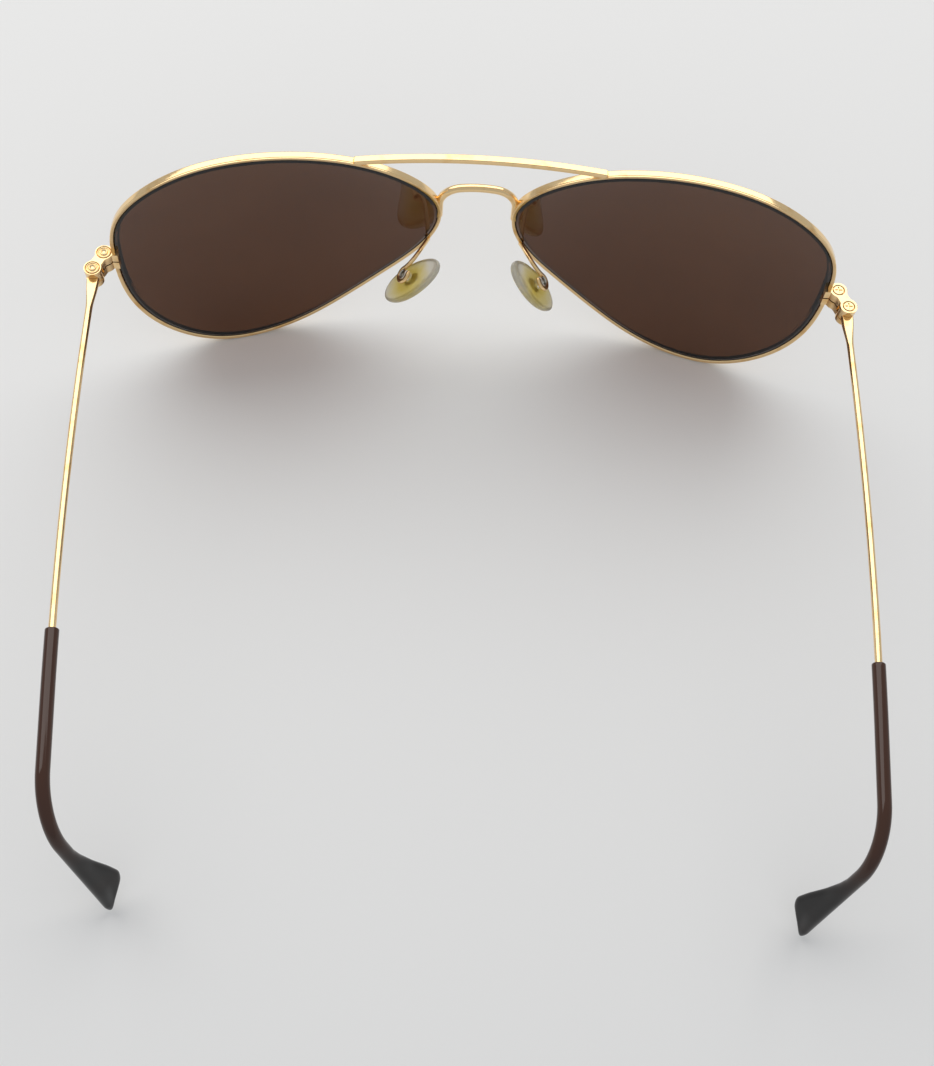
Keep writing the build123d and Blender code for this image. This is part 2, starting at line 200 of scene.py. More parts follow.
def turned(profile, place, axis, sides=64, closed=False):
    # A profile of radius and height turned about an axis through a place.
    axis = unit(np.asarray(axis, float))
    helper = np.array([1.0, 0, 0]) if abs(axis[0]) < 0.8 else np.array([0, 1.0, 0])
    first = unit(np.cross(axis, helper))
    second = np.cross(axis, first)
    angle = np.linspace(0, 2 * math.pi, sides, endpoint=False)
    spoke = np.cos(angle)[:, None] * first + np.sin(angle)[:, None] * second
    radius, height = np.asarray(profile, float).T
    grid = np.asarray(place, float) + radius[:, None, None] * spoke + height[:, None, None] * axis
    return solid(grid, closed)


def boxShape(place, size):
    corner = np.array([(x, y, z) for x in (-1, 1) for y in (-1, 1) for z in (-1, 1)]) * np.array(size) / 2
    faces = [[0, 1, 3, 2], [4, 6, 7, 5], [0, 4, 5, 1], [2, 3, 7, 6], [0, 2, 6, 4], [1, 5, 7, 3]]
    return corner + np.array(place), outward(corner, faces)


def swept(place, heading, side, profile, sizes, lift=None):
    # At each point of a path the profile stands square to the heading. Its first number runs along side
    # and its second along heading x side, and sizes gives both half sizes there. lift moves the
    # middle along side.
    side = unit(side - heading * np.sum(side * heading, axis=1, keepdims=True))
    other = np.cross(heading, side)
    centre = place if lift is None else place + side * lift[:, None]
    reach = profile * sizes[:, None, :]
    return centre[:, None] + reach[..., :1] * side[:, None] + reach[..., 1:] * other[:, None]


def squircle(power, sides=32):
    # |x|^power + |y|^power = 1: 2 is a circle, and more is nearer a square.
    angle = np.linspace(0, 2 * math.pi, sides, endpoint=False)
    c, s = np.cos(angle), np.sin(angle)
    return np.stack([np.sign(c) * abs(c) ** (2 / power), np.sign(s) * abs(s) ** (2 / power)], -1)


def bar(place, heading, side, profile, sizes, rounding):
    # A profile carried along a path, with both ends rounded over. Where the arc has turned by a, the ring
    # lies rounding (1 - cos a) from the end and is rounding (1 - sin a) smaller all round.
    angle = np.linspace(0, math.pi / 2, 5)
    inset, less = rounding * (1 - np.cos(angle))[:, None], rounding * (1 - np.sin(angle))[:, None]
    first, last = place[0] + heading[0] * inset, place[-1] - heading[-1] * inset
    places = np.concatenate([first, place[1:-1], last[::-1]])
    headings = np.concatenate([np.repeat(heading[:1], 5, 0), heading[1:-1], np.repeat(heading[-1:], 5, 0)])
    half = np.broadcast_to(sizes, (len(place), 2))
    halves = np.concatenate([half[0] - less, half[1:-1], (half[-1] - less)[::-1]])
    return solid(swept(places, headings, np.broadcast_to(side, places.shape), profile, halves))


def worked(shape, prepare):
    # Puts a shape through modifiers on an object that is then removed, and gives the new shape.
    mesh = bpy.data.meshes.new("blank")
    mesh.from_pydata(shape[0].tolist(), [], shape[1])
    blank = bpy.data.objects.new("blank", mesh)
    bpy.context.scene.collection.objects.link(blank)
    prepare(blank)
    ready = blank.evaluated_get(bpy.context.evaluated_depsgraph_get())
    result = bpy.data.meshes.new_from_object(ready)
    points = np.zeros(len(result.vertices) * 3)
    result.vertices.foreach_get("co", points)
    faces = [list(face.vertices) for face in result.polygons]
    bpy.data.objects.remove(blank)
    return points.reshape(-1, 3), faces


def carved(shape, tool, operation="DIFFERENCE"):
    mesh = bpy.data.meshes.new("tool")
    mesh.from_pydata(tool[0].tolist(), [], tool[1])
    other = bpy.data.objects.new("tool", mesh)
    bpy.context.scene.collection.objects.link(other)

    def prepare(blank):
        cut = blank.modifiers.new("cut", "BOOLEAN")
        cut.operation, cut.solver, cut.object = operation, "EXACT", other
    result = worked(shape, prepare)
    bpy.data.objects.remove(other)
    return result


def softened(shape, width, angle=30, segments=2):
    def prepare(blank):
        bevel = blank.modifiers.new("edges", "BEVEL")
        bevel.width, bevel.segments = width, segments
        bevel.limit_method, bevel.angle_limit = "ANGLE", math.radians(angle)
    return worked(shape, prepare)


# ---- materials

def newMaterial(name):
    material = bpy.data.materials.new(name)
    material.use_nodes = True
    nodes = material.node_tree.nodes
    return material, nodes, material.node_tree.links, nodes["Principled BSDF"]


def noise(nodes, links, scale, detail):
    # Soft random patches in the piece's own coordinates; scale is patches per metre.
    place = nodes.new("ShaderNodeTexCoord")
    texture = nodes.new("ShaderNodeTexNoise")
    texture.inputs["Scale"].default_value = scale
    texture.inputs["Detail"].default_value = detail
    links.new(place.outputs["Object"], texture.inputs["Vector"])
    return texture.outputs["Fac"]


def ramp(nodes, links, source, stops):
    node = nodes.new("ShaderNodeValToRGB")
    while len(node.color_ramp.elements) < len(stops):
        node.color_ramp.elements.new(0.5)
    for element, (position, colour) in zip(node.color_ramp.elements, stops):
        element.position = position
        element.color = (*colour, 1)
    links.new(source, node.inputs["Fac"])
    return node.outputs["Color"]


def spread(nodes, links, source, low, high):
    node = nodes.new("ShaderNodeMapRange")
    node.inputs["To Min"].default_value = low
    node.inputs["To Max"].default_value = high
    links.new(source, node.inputs["Value"])
    return node.outputs["Result"]


def bump(nodes, links, shader, source, strength, distance):
    node = nodes.new("ShaderNodeBump")
    node.inputs["Strength"].default_value = strength
    node.inputs["Distance"].default_value = distance
    links.new(source, node.inputs["Height"])
    links.new(node.outputs["Normal"], shader.inputs["Normal"])


def mottled(nodes, links, value, scale, detail, amount):
    # A value with soft random patches of an amount added to it.
    add = nodes.new("ShaderNodeMath")
    add.operation = "MULTIPLY_ADD"
    add.inputs[1].default_value = amount
    links.new(noise(nodes, links, scale, detail), add.inputs[0])
    links.new(value, add.inputs[2])
    return add.outputs["Value"]


metals = dict(
    gold=dict(light=(0.93, 0.67, 0.35), dark=(0.80, 0.50, 0.20), smooth=0.08, worn=0.20),
    screwGold=dict(light=(0.88, 0.64, 0.34), dark=(0.36, 0.23, 0.09), smooth=0.12, worn=0.30),
    silver=dict(light=(0.86, 0.84, 0.78), dark=(0.55, 0.50, 0.40), smooth=0.10, worn=0.30),
    patches=260, smudges=1500, scratches=9000, scratchStrength=0.15, scratchDepth=0.000004,
)


def makeMetal(name, finish):
    # Polished plate: the colour drifts to the darker tone in small patches, and fine smudges dull it.
    material, nodes, links, shader = newMaterial(name)
    shader.inputs["Metallic"].default_value = 1.0
    patches = noise(nodes, links, metals["patches"], 4)
    stops = [(0.30, finish["dark"]), (0.46, finish["light"]), (1.0, finish["light"])]
    links.new(ramp(nodes, links, patches, stops), shader.inputs["Base Color"])
    smudges = noise(nodes, links, metals["smudges"], 5)
    links.new(spread(nodes, links, smudges, finish["smooth"], finish["worn"]), shader.inputs["Roughness"])
    scratches = noise(nodes, links, metals["scratches"], 2)
    bump(nodes, links, shader, scratches, metals["scratchStrength"], metals["scratchDepth"])
    return material


glass = dict(
    tint=(0.085, 0.033, 0.013), drift=(0.070, 0.026, 0.010), shade=(0.20, 0.13, 0.09), index=1.5,
    clouds=35, film=420, filmRoughness=0.035,
)


def makeLensGlass():
    # Brown glass: light through both faces takes the tint once. Shadow rays pass straight on, tinted.
    material, nodes, links, shader = newMaterial("brownLens")
    shader.inputs["Transmission Weight"].default_value = 1.0
    shader.inputs["IOR"].default_value = glass["index"]
    cloud = noise(nodes, links, glass["clouds"], 2)
    stops = [(0.3, glass["drift"]), (0.7, glass["tint"])]
    links.new(ramp(nodes, links, cloud, stops), shader.inputs["Base Color"])
    film = noise(nodes, links, glass["film"], 6)
    links.new(spread(nodes, links, film, 0.0, glass["filmRoughness"]), shader.inputs["Roughness"])
    clear = nodes.new("ShaderNodeBsdfTransparent")
    clear.inputs["Color"].default_value = (*[c ** 0.5 for c in glass["shade"]], 1)
    path = nodes.new("ShaderNodeLightPath")
    mix = nodes.new("ShaderNodeMixShader")
    links.new(path.outputs["Is Shadow Ray"], mix.inputs["Fac"])
    links.new(shader.outputs["BSDF"], mix.inputs[1])
    links.new(clear.outputs["BSDF"], mix.inputs[2])
    links.new(mix.outputs["Shader"], nodes["Material Output"].inputs["Surface"])
    return material


# The brown tone above a height is partly painted light, standing in for the glow of the core wire seen
# through the sleeve.
tipLook = dict(
    brown=(0.050, 0.017, 0.007), black=(0.004, 0.003, 0.003), index=1.46, smooth=0.04, worn=0.10,
    blackBelow=0.016, wireGlowAbove=0.029,     # heights above the floor, in metres
    clouds=160, cloudAmount=0.35, smudges=900,
)


def makeTipPlastic():
    # Glossy dark brown plastic, nearly black lower down where the blade is thick. The browner tone higher up
    # is partly painted light: it stands in for light thrown back by the gold core wire through the plastic,
    # which this opaque surface does not show.
    material, nodes, links, shader = newMaterial("tipPlastic")
    shader.inputs["IOR"].default_value = tipLook["index"]
    place = nodes.new("ShaderNodeTexCoord")
    split = nodes.new("ShaderNodeSeparateXYZ")
    links.new(place.outputs["Object"], split.inputs["Vector"])
    # Painted light: the colour goes from black to brown with height above the floor, standing in for light
    # off the core wire inside the plastic.
    height = nodes.new("ShaderNodeMapRange")
    height.inputs["From Min"].default_value = tipLook["blackBelow"]
    height.inputs["From Max"].default_value = tipLook["wireGlowAbove"]
    links.new(split.outputs["Z"], height.inputs["Value"])
    level = mottled(nodes, links, height.outputs["Result"], tipLook["clouds"], 3, tipLook["cloudAmount"])
    tone = ramp(nodes, links, level, [(0.15, tipLook["black"]), (1.0, tipLook["brown"])])
    links.new(tone, shader.inputs["Base Color"])
    smudges = noise(nodes, links, tipLook["smudges"], 5)
    links.new(spread(nodes, links, smudges, tipLook["smooth"], tipLook["worn"]), shader.inputs["Roughness"])
    return material


# ---- the frame's own measures, worked out for the left half

def lensOutline(grow, count=360):
    # The lens's outline seen from the front, moved outward by grow.
    half = np.array([lens["width"], lens["height"]]) / 2
    curve = np.array([lensX, lensZ]) + closedCurve(lens["outline"], count) * half
    if grow == 0:
        return curve
    along = unit(np.roll(curve, -1, 0) - np.roll(curve, 1, 0))
    return curve + grow * np.stack([along[:, 1], -along[:, 0]], -1)


def leaned(points):
    # The front leans forward about the X axis.
    a = math.radians(rim["tilt"])
    x, y, z = np.moveaxis(points, -1, 0)
    return np.stack([x, y * math.cos(a) - z * math.sin(a), y * math.sin(a) + z * math.cos(a)], -1)


def addPiece(name, shape, side, body, nodes, material, folding=False, crease=30):
    # Turns a left-half shape into a finished object in the frame. side is 1 for left and -1 for right.
    # A folding piece is turned about its hinge by the open temple's toe-in.
    points, faces = shape
    points = points * (side, 1, 1)
    if side < 0:
        faces = [face[::-1] for face in faces]
    if folding:
        a = math.radians(hinge["toe"])
        pin = pinPlace * (side, 1, 0)
        turn = np.array([(math.cos(a), math.sin(a), 0), (-math.sin(a), math.cos(a), 0), (0, 0, 1)])
        points = (points - pin) @ turn + pin
    mesh = bpy.data.meshes.new(name)
    mesh.from_pydata(((points + shift) * mm).tolist(), [], faces)
    mesh.shade_smooth()
    mesh.set_sharp_from_angle(angle=math.radians(crease))
    mesh.materials.append(material)
    piece = bpy.data.objects.new(name, mesh)
    bpy.context.scene.collection.objects.link(piece)
    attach(piece, body)
    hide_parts(*nodes)


sideNames = {1: "left", -1: "right"}


# ---- lenses

def makeLens():
    # Rows run from the middle of the back, out over its ground edge, round the tongue in the rim's
    # groove, and back to the middle of the front. Inside the edge a row is the edge drawn in by a share.
    inner, tongue = -lens["play"], lens["tongue"]
    ridge = (lens["thickness"] - lens["tongueThickness"]) / 2
    shares = np.linspace(0.04, 1, 22)
    middle = np.array([lensX, lensZ])
    rows = []
    for share in shares:
        rows.append(onFront(middle + share * (lensOutline(-lens["facet"]) - middle), backCurve))
    wallRows = [
        (-lens["edgeStart"], backCurve + lens["facetDepth"]), (inner, backCurve + lens["edgeDepth"]),
        (inner, backCurve + ridge), (tongue, backCurve + ridge),
        (tongue, lens["curve"] - ridge), (inner, lens["curve"] - ridge),
        (inner, lens["curve"] - lens["frontFacet"]),
    ]
    rows += [onFront(lensOutline(grow), radius) for grow, radius in wallRows]
    for share in shares[::-1]:
        flat = middle + share * (lensOutline(inner - lens["frontFacet"]) - middle)
        rows.append(onFront(flat, lens["curve"]))
    points, faces = solid(np.array(rows))
    points[-2:] = onFront(np.array([middle, middle]), np.array([backCurve, lens["curve"]]))
    return leaned(points), faces


# ---- rims

def rimProfile():
    # Pairs of growth from the lens's edge and radius: a flat outer wall with a crease that leaves a thin
    # bead at the back, and a groove inside for the lens's tongue.
    wall, crease, bead, r = rim["wall"], rim["crease"], rim["bead"], rim["rounding"]
    groove = lens["tongue"] + lens["play"]
    low = (rim["depth"] - lens["tongueThickness"]) / 2 - lens["play"]
    corners = [
        (wall, 0), (0, 0), (0, low), (groove, low), (groove, rim["depth"] - low),
        (0, rim["depth"] - low), (0, rim["depth"]), (wall, rim["depth"]),
        (wall, bead + crease), (wall - crease, bead), (wall - 0.02, bead - crease * 0.7),
    ]
    radii = [rim["backRounding"], r, 0, 0, 0, 0, r, rim["frontRounding"], 0, 0, 0]
    return filleted(corners, radii, 5) + (0, rimBack)


def makeRim():
    # The profile carried round the outline from the top of the slit to its bottom.
    dense = 3600
    curve = lensOutline(0, dense)
    along = unit(np.roll(curve, -1, 0) - np.roll(curve, 1, 0))
    out = np.stack([along[:, 1], -along[:, 0]], -1)
    tilt = math.radians(rim["tilt"])
    slitZ = (hingeZ - edge[1] * math.sin(tilt)) / math.cos(tilt)
    outer = (curve[:, 0] > lensX) & (abs(curve[:, 1] - slitZ) < rim["slit"] / 2)
    begin = np.flatnonzero(outer & ~np.roll(outer, -1))[0] + 1
    count = dense - outer.sum()
    index = (begin + np.linspace(0, count, 460).round().astype(int)) % dense
    profile = rimProfile()
    flat = curve[index, None] + profile[None, :, :1] * out[index, None]
    return solid(leaned(onFront(flat, profile[None, :, 1])))


# ---- brow bar and bridge

brow = dict(reach=15.05, depth=1.4, height=1.0, crown=2.0, sink=0.55, corner=0.16, rounding=0.12)
bridge = dict(wire=1.45, inset=0.25, topShare=0.638, footShare=0.31, corner=4.6, crown=1.0,
              crownRadius=18.0, rounding=0.2)


def makeBrowBar():
    # A flat bar bent to an arc, let into the tops of the two rims.
    reach = lens["gap"] / 2 + brow["reach"]
    upper = lensOutline(rim["wall"])
    upper = upper[upper[:, 1] > lensZ]
    order = np.argsort(upper[:, 0])
    rimTop = np.interp(reach, upper[order, 0], upper[order, 1])
    low = rimTop - brow["sink"] + brow["height"] / 2
    depth = onFront(np.array([reach, rimTop]), (rimBack + rimFront) / 2)[1]
    radius = (reach ** 2 + brow["crown"] ** 2) / (2 * brow["crown"])
    turn = math.asin(reach / radius) * np.linspace(-1, 1, 120)
    line = np.stack([
        radius * np.sin(turn), np.full(len(turn), depth), low + brow["crown"] - radius * (1 - np.cos(turn)),
    ], -1)
    place, heading = evenly(line, 0.4)[:2]
    half = np.array([brow["depth"], brow["height"]]) / 2
    corners = [(1, 1), (-1, 1), (-1, -1), (1, -1)]
    profile = filleted(corners * half, [brow["corner"]] * 4) / half
    points, faces = bar(place, heading, (0, 1, 0), profile, half, brow["rounding"])
    return leaned(points), faces


def makeBridge():
    # A bent wire: up from one rim, over, and down to the other.
    side = lens["gap"] / 2 - bridge["inset"]
    half = lens["height"] / 2
    foot, top = lensZ + bridge["footShare"] * half, lensZ + bridge["topShare"] * half
    depth = onFront(np.array([side, foot]), (rimBack + rimFront) / 2)[1]
    shoulder = top - bridge["crown"]
    corners = [(-side, depth, foot), (-side, depth, shoulder), (0, depth, top),
               (side, depth, shoulder), (side, depth, foot)]
    radii = [bridge["corner"], bridge["crownRadius"], bridge["corner"]]
    place, heading = roundedPath(corners, radii, 0.2)[:2]
    size = np.array([bridge["wire"], bridge["wire"]]) / 2
    points, faces = bar(place, heading, (0, 1, 0), squircle(2.2, 28), size, bridge["rounding"])
    return leaned(points), faces


# ---- hinges

def plateShape(bottom, top):
    # Two round ends joined by a waist: at each place along the line between the screws the half width is
    # the largest of the two circles and the waist, with the corners between them eased.
    span = pinPlace - lockPlace
    length = math.hypot(span[0], span[1])
    r = hinge["plateRadius"]
    t = length / 2 - (length / 2 + r) * np.cos(np.linspace(0, math.pi, 90))
    circles = [np.sqrt(np.clip(r ** 2 - (t - middle) ** 2, 0, None)) for middle in (0, length)]
    waist = np.where((t > 0) & (t < length), hinge["waist"], 0)
    stack = np.array([*circles, waist])
    width = np.minimum((stack ** hinge["sharpness"]).sum(0) ** (1 / hinge["sharpness"]), r)
    ahead = np.array([span[0], span[1]]) / length
    across = np.array([-ahead[1], ahead[0]])
    outline = np.concatenate([t[:, None] * ahead + width[:, None] * across,
                              (t[:, None] * ahead - width[:, None] * across)[-2:0:-1]])
    rows = [np.column_stack([outline + lockPlace[:2], np.full(len(outline), z)]) for z in (bottom, top)]
    return solid(np.array(rows))


def makeHingeBlock(isUpper, side):
    # One closing block: the plate and its root on the rim, less the knuckle's room and the screws' holes.
    slit, play = rim["slit"] / 2, hinge["play"]
    reach = hinge["knuckle"] / 2 + play + hinge["plateThickness"]
    near, far = (slit, reach) if isUpper else (-reach, -slit)
    block = plateShape(hingeZ + near, hingeZ + far)
    rootMiddle = lockPlace + (-hinge["rootLong"] / 2, -hinge["rootForward"], (near + far) / 2)
    root = boxShape(rootMiddle, (hinge["rootLong"], hinge["rootWide"], far - near))
    block = carved(block, root, "UNION")
    roomRadius = hinge["knuckleRadius"] + hinge["room"]
    roomHalf = hinge["knuckle"] / 2 + play
    room = [(roomRadius, -roomHalf), (roomRadius, roomHalf)]
    block = carved(block, turned(room, pinPlace, (0, 0, 1)))
    bore, seat, chamfer = hinge["screw"] + play, hinge["head"][side] + hinge["seat"], hinge["chamfer"]
    for place in (lockPlace, pinPlace):
        if isUpper:
            floor = reach - hinge["headHeight"] - play
            hole = [(seat, floor), (seat, reach - chamfer), (seat + 2 * chamfer, reach + chamfer)]
        else:
            hole = [(bore, -reach - 1), (bore, 0)]
        block = carved(block, turned(hole, place, (0, 0, 1)))

    def merge(blank):
        flat = blank.modifiers.new("flat", "DECIMATE")
        flat.decimate_type, flat.angle_limit = "DISSOLVE", math.radians(0.5)
    return softened(worked(block, merge), hinge["edge"], angle=40)


def makeScrew(place, side):
    # A turned screw: a plain shank and either a ringed, domed head or a flat one with crossed slots.
    reach = hinge["knuckle"] / 2 + hinge["play"] + hinge["plateThickness"]
    head, shank = hinge["head"][side], hinge["screw"]
    domed = side > 0
    under = reach - hinge["headHeight"]
    body = [(shank - 0.06, -reach), (shank, -reach + 0.06), (shank, under), (head, under)]
    if domed:
        face = [(1.00, -0.14), (0.97, -0.02), (0.91, 0.05), (0.83, 0.06), (0.77, 0.0), (0.71, -0.12),
                (0.64, -0.12), (0.58, 0.0), (0.50, 0.09), (0.39, 0.11), (0.31, 0.06), (0.25, -0.06),
                (0.17, -0.08), (0.08, -0.06)]
    else:
        face = [(1.00, -0.09), (0.98, -0.04), (0.93, 0.0), (0.85, 0.015), (0.4, 0.02), (0.1, 0.02)]
    profile = body + [(head * r, reach + h) for r, h in face]
    screw = turned(profile, place, (0, 0, 1), 56)
    if domed:
        return screw
    slot = 1.35 * head
    for size in ((slot, 0.26, 0.4), (0.26, slot, 0.4)):
        screw = carved(screw, boxShape(place + (0, 0, reach), size))
    return screw


# ---- temples and their tips

temple = dict(
    wire=0.62, flatWidth=2.15, flatStart=0.9, flatLength=6.5,
    reach=100.6, drop=1.7, inset=3.3, bow=0.45, bowPlace=46.3, bowShare=0.9,
    hookInset=7.6, hookBack=6.5, footHeight=0.7, bend=10.5,
    easing=1.0,                     # how far past the flat's length the wire is quite round
    coreLength=12, coreThin=0.45,   # the wire's last stretch, inside the tip, and how much it thins
)
tip = dict(
    start=69.0, radius=1.15, lip=0.3, coreEnd=7.0, bladeShare=0.64, width=5.5, web=0.60, nose=2.0,
    taper=7.0, taperBy=0.42,        # the rod thins over its last stretch, by this share
    side=(0.7071, 0.7071, 0),
    valley=1.9, lipWidth=1.3,       # the slope down from the rod, and the web's rounded edge
    flatter=2.2,                    # how many times sooner than its width the section is a blade
    # part of the blade, and how much of its growth it has there
    growth=[(0, 0), (0.12, 0.10), (0.3, 0.38), (0.5, 0.78), (0.64, 1.0), (0.74, 0.98), (0.84, 0.72),
            (0.92, 0.36), (0.97, 0.12), (1.0, 0.0)],
)


def templePath(end, step):
    # One long gentle bow, then one bend down behind the ear; stops short of the hook's end by end.
    corner = pinPlace + (-temple["inset"], temple["reach"], -temple["drop"])
    fall = corner[2] - temple["footHeight"]
    foot = corner + (-temple["hookInset"], temple["hookBack"], -fall)
    share = temple["bowPlace"] / temple["reach"]
    middle = pinPlace + (temple["bow"], temple["bowPlace"], -temple["drop"] * share)
    first, second = unit(middle - pinPlace), unit(corner - middle)
    run = np.linalg.norm(middle - pinPlace) - temple["flatLength"]
    bow = temple["bowShare"] * run / math.tan(math.acos(first @ second) / 2)
    start = pinPlace + first * temple["flatStart"]
    last = foot + unit(corner - foot) * end
    place, heading, along = roundedPath([start, middle, corner, last], [bow, temple["bend"]], step)
    return place, heading, along, np.linalg.norm(foot - corner)


def eased(x):
    # Nought below 0, one above 1, and a smooth step between.
    x = np.clip(x, 0, 1)
    return x * x * (3 - 2 * x)


def makeTemple():
    # A flat, rounded oblong at the knuckle that turns into round wire, which runs on inside the tip.
    place, heading, along = templePath(tip["coreEnd"], 0.5)[:3]
    left = 1 - eased(along / (temple["flatLength"] - temple["flatStart"] + temple["easing"]))
    half = np.stack([temple["wire"] + (temple["flatWidth"] / 2 - temple["wire"]) * left,
                     temple["wire"] + (hinge["knuckle"] / 2 - temple["wire"]) * left], -1)
    power = (2 + 5 * left)[:, None]
    angle = np.linspace(0, 2 * math.pi, 32, endpoint=False)
    c, s = np.cos(angle), np.sin(angle)
    profile = np.stack([np.sign(c) * abs(c) ** (2 / power), np.sign(s) * abs(s) ** (2 / power)], -1)
    core = temple["coreLength"]
    thin = 1 - temple["coreThin"] * eased((along - along[-1] + core) / core)
    side = np.broadcast_to((1.0, 0, 0), place.shape)
    rod = solid(swept(place, heading, side, profile, half * thin[:, None]))
    outer, inner, tall = hinge["knuckleRadius"], hinge["screw"] + hinge["play"], hinge["knuckle"] / 2
    r = hinge["eyeEdge"]
    eye = turned([(outer - r, -tall), (outer, -tall + r), (outer, tall - r), (outer - r, tall)],
                 pinPlace, (0, 0, 1), 72)
    whole = carved(rod, eye, "UNION")
    return carved(whole, turned([(inner, -1), (inner, 1)], pinPlace, (0, 0, 1), 48))


def makeTip():
    # A sleeve, round at first, that grows into a blade: a rod along the outer edge with a thinner web on
    # its inner side. Across the section x runs from the web's edge to the rod's, and h is half thickness.
    step = 0.35
    place, heading, along, hook = templePath(0, step)
    total = along[-1]
    first = tip["start"] - temple["flatStart"]
    blade = hook * tip["bladeShare"]
    nose = tip["nose"]
    angle = np.linspace(0, math.pi / 2, 10)
    lip = tip["lip"]
    lipRows, noseRows = first + lip * (1 - np.cos(angle)), total - nose * (1 - np.sin(angle))
    between = np.arange(first + lip + 0.3, total - nose, step)
    stations = np.concatenate([lipRows, between, noseRows])
    shrink = np.concatenate([1 - lip / tip["radius"] * (1 - np.sin(angle)),
                             np.ones(len(stations) - 20), np.cos(angle) * 0.998 + 0.002])
    slimmer = 1 - tip["taperBy"] * eased((stations - total + tip["taper"]) / tip["taper"])
    at = np.stack([np.interp(stations, along, place[:, i]) for i in range(3)], -1)
    to = unit(np.stack([np.interp(stations, along, heading[:, i]) for i in range(3)], -1))
    steps = np.linspace(0, 1, 400)
    known = np.array(tip["growth"])
    grown = np.interp(steps, known[:, 0], known[:, 1])
    window = np.hanning(41) / np.hanning(41).sum()
    grown = np.convolve(np.pad(grown, 20, mode="edge"), window, "valid")
    share = np.interp((stations - total + blade) / blade, steps, grown)
    r = tip["radius"]
    half = r + (tip["width"] / 2 - r) * share
    turn = np.linspace(0, 2 * math.pi, 56, endpoint=False)
    x = half[:, None] * np.cos(turn)
    rodMiddle = (half - r)[:, None]
    web = r * tip["web"]
    oval = r * np.sqrt(np.clip(1 - (x / half[:, None]) ** 2, 0, 1))
    valley, lipWidth = tip["valley"] * r, tip["lipWidth"] * web
    body = web + (r - web) * eased((x - rodMiddle + valley) / valley)
    outerEnd = np.sqrt(np.clip(1 - ((x - rodMiddle) / r) ** 2, 0, 1))
    webEdge = lipWidth - half[:, None]
    innerEnd = np.sqrt(np.clip(1 - ((webEdge - x) / lipWidth) ** 2, 0, 1))
    flat = body * np.where(x > rodMiddle, outerEnd, 1) * np.where(x < webEdge, innerEnd, 1)
    mixing = eased(share * tip["flatter"])[:, None]
    h = (oval * (1 - mixing) + flat * mixing) * np.sign(np.sin(turn))
    profile = np.stack([x, h], -1) * (shrink * slimmer)[:, None, None]
    side = np.broadcast_to(np.array(tip["side"], float), at.shape)
    ones = np.ones((len(at), 2))
    # The middle moves inward as the blade grows, so that the rod's outer edge runs straight on.
    return solid(swept(at, to, side, profile, ones, lift=r - half * slimmer))


# ---- nose pads

pad = dict(
    length=13.5, width=7.8, thickness=2.4, lean=38.0, sweep=7.0, out=5.15, behind=7.72, drop=0.45,
    gap=0.4, egg=0.10, edge=0.42, dome=2.4, cushion=0.05,
    rest={1: 9.0, -1: 0.0},         # how far each pad's foot stands outward at rest, about the pad screw
    plate=(3.4, 2.2, 0.4), plateDepth=0.6, neck=0.75, lug=0.5, lugThickness=0.7,
)
cup = dict(radius=1.0, wall=0.3, height=1.7, front=0.5, lip=0.12, screw=0.22, screwHead=0.45, headHeight=0.2,
           slot=(0.12, 1.2, 0.24))
arm = dict(
    wire=0.8, play=0.02, rounding=0.15, root=7, rootOut=0.6,    # root is the outline's point it leaves from
    start=(0.25, 0.80, 0.55), curlStart=100.0, curl=270.0,
)

leanAngle, sweepAngle = math.radians(pad["lean"]), math.radians(pad["sweep"])
leanOut, leanDown = math.sin(leanAngle), math.cos(leanAngle)
padDown = unit(np.array([leanOut, leanDown * math.tan(sweepAngle), -leanDown]))
inward = np.array([-leanDown, 0, -leanOut])
padFace = unit(inward - padDown * (inward @ padDown))
padSide = np.cross(padFace, padDown)
padFlat = np.array([lens["gap"] / 2 + pad["out"], lensZ - pad["drop"]])
padPlace = onFront(padFlat, rimBack) + (0, pad["behind"], 0)
padBack = cup["front"] + pad["gap"]


def onPad(points, rest=0):
    # x down the pad, y forward and z towards the nose, from the pad screw, turned about it by rest.
    x, y, z = np.moveaxis(np.asarray(points, float), -1, 0)
    a = math.radians(rest)
    x, z = x * math.cos(a) + z * math.sin(a), z * math.cos(a) - x * math.sin(a)
    return padPlace + x[..., None] * padDown + y[..., None] * padSide + z[..., None] * padFace


def makeNosePad(side):
    # An egg outline, x = a cos t and y = b sin t (1 - egg + egg cos t), drawn in row by row: nearly flat
    # at the back, a rounded edge, and a dome of height (1 - s^dome)^(1/dome) towards the nose.
    t = np.linspace(0, 2 * math.pi, 96, endpoint=False)
    a, b = pad["length"] / 2, pad["width"] / 2
    outline = np.stack([a * np.cos(t), b * np.sin(t) * (1 - pad["egg"] + pad["egg"] * np.cos(t))], -1)
    rise, power, low = pad["edge"], pad["dome"], pad["cushion"]
    rows = [(s, low * s ** 4) for s in np.linspace(0.05, 0.9, 10)]
    for q in np.linspace(0, math.pi / 2, 7)[1:-1]:
        rows.append((0.9 + 0.1 * math.sin(q), low + (rise - low) * (1 - math.cos(q))))
    for s in np.cos(np.linspace(0, 0.97 * math.pi / 2, 22)):
        dome = (1 - s ** power) ** (1 / power)
        rows.append((s, rise + (pad["thickness"] - rise) * dome))
    grid = np.array([np.column_stack([outline * s, np.full(len(t), padBack + h)]) for s, h in rows])
    return solid(onPad(grid, pad["rest"][side]))


